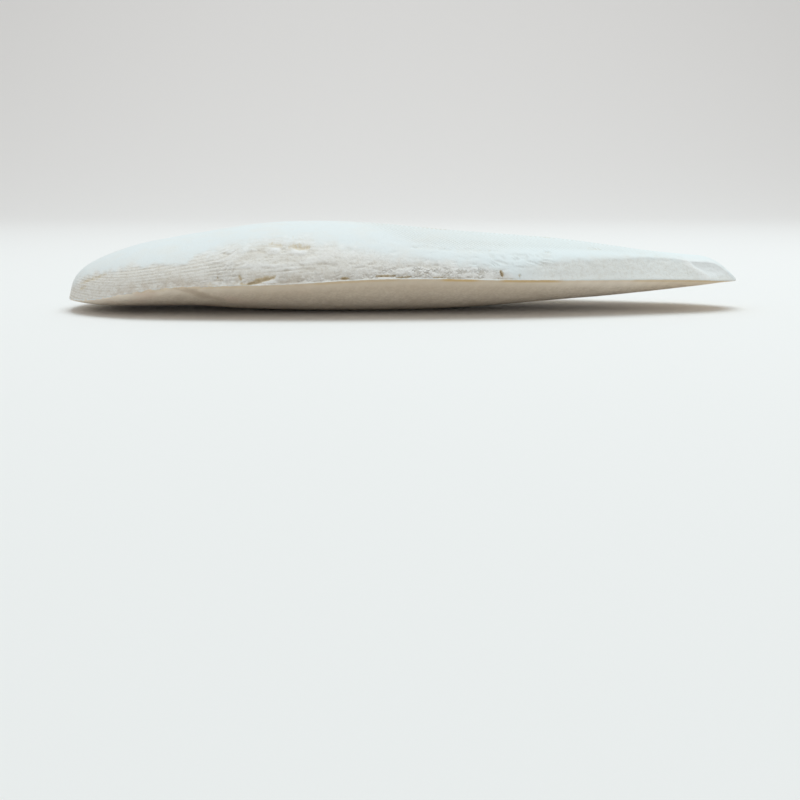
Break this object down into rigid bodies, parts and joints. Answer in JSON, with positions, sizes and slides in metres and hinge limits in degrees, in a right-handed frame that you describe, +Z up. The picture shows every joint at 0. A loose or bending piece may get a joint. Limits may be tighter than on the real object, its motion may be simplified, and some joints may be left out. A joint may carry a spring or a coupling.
{
  "type": "cuttlebone",
  "caption": "Dried cuttlebone: a long shallow boat shape with a chalky layered mass over a thin hard shield, blunt at the front end and thin at the chipped tail.",
  "frame": {"origin": "on the resting surface, under the middle of the bone's length and width", "axes": "+X along the bone towards the thin tail end, +Y across it, +Z up through the chalky mass"},
  "size_m": [0.19, 0.066, 0.0249],
  "materials": {
    "bone": "matte"
  },
  "bodies": {
    "root": {"cuttlebone": "bone"}
  },
  "joints": []
}
